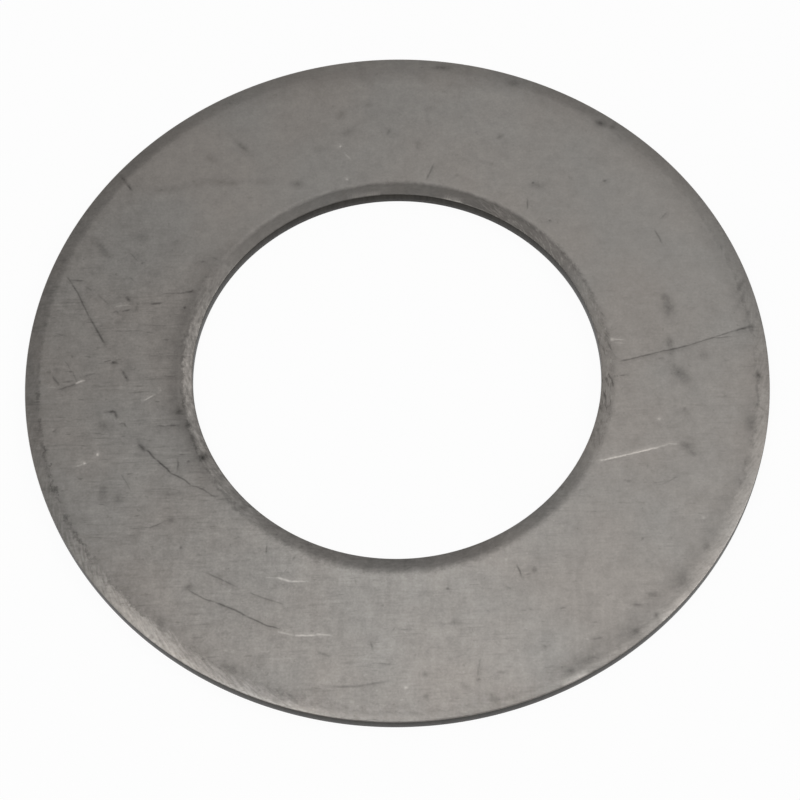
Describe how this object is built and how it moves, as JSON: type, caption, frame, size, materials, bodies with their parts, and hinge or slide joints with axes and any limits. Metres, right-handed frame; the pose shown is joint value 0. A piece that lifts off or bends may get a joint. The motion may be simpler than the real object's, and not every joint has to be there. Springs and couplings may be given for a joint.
{
  "type": "shim ring",
  "caption": "Flat stamped steel shim ring that slips over a shaft to take up end play, with rolled-over upper edges and scuffed faces.",
  "frame": {"origin": "on the ring's axis, at the lower flat face it rests on", "axes": "+Z along the axis, up through the thickness to the rolled-over face; X and Y across the ring, X along the rolling grain of the strip"},
  "size_m": [0.04, 0.04, 0.0009],
  "materials": {
    "cold_rolled_steel": "dull cold-rolled surface with fine rolling grain, scuffs and stains"
  },
  "bodies": {
    "root": {"shim_ring": "cold_rolled_steel"}
  },
  "joints": []
}
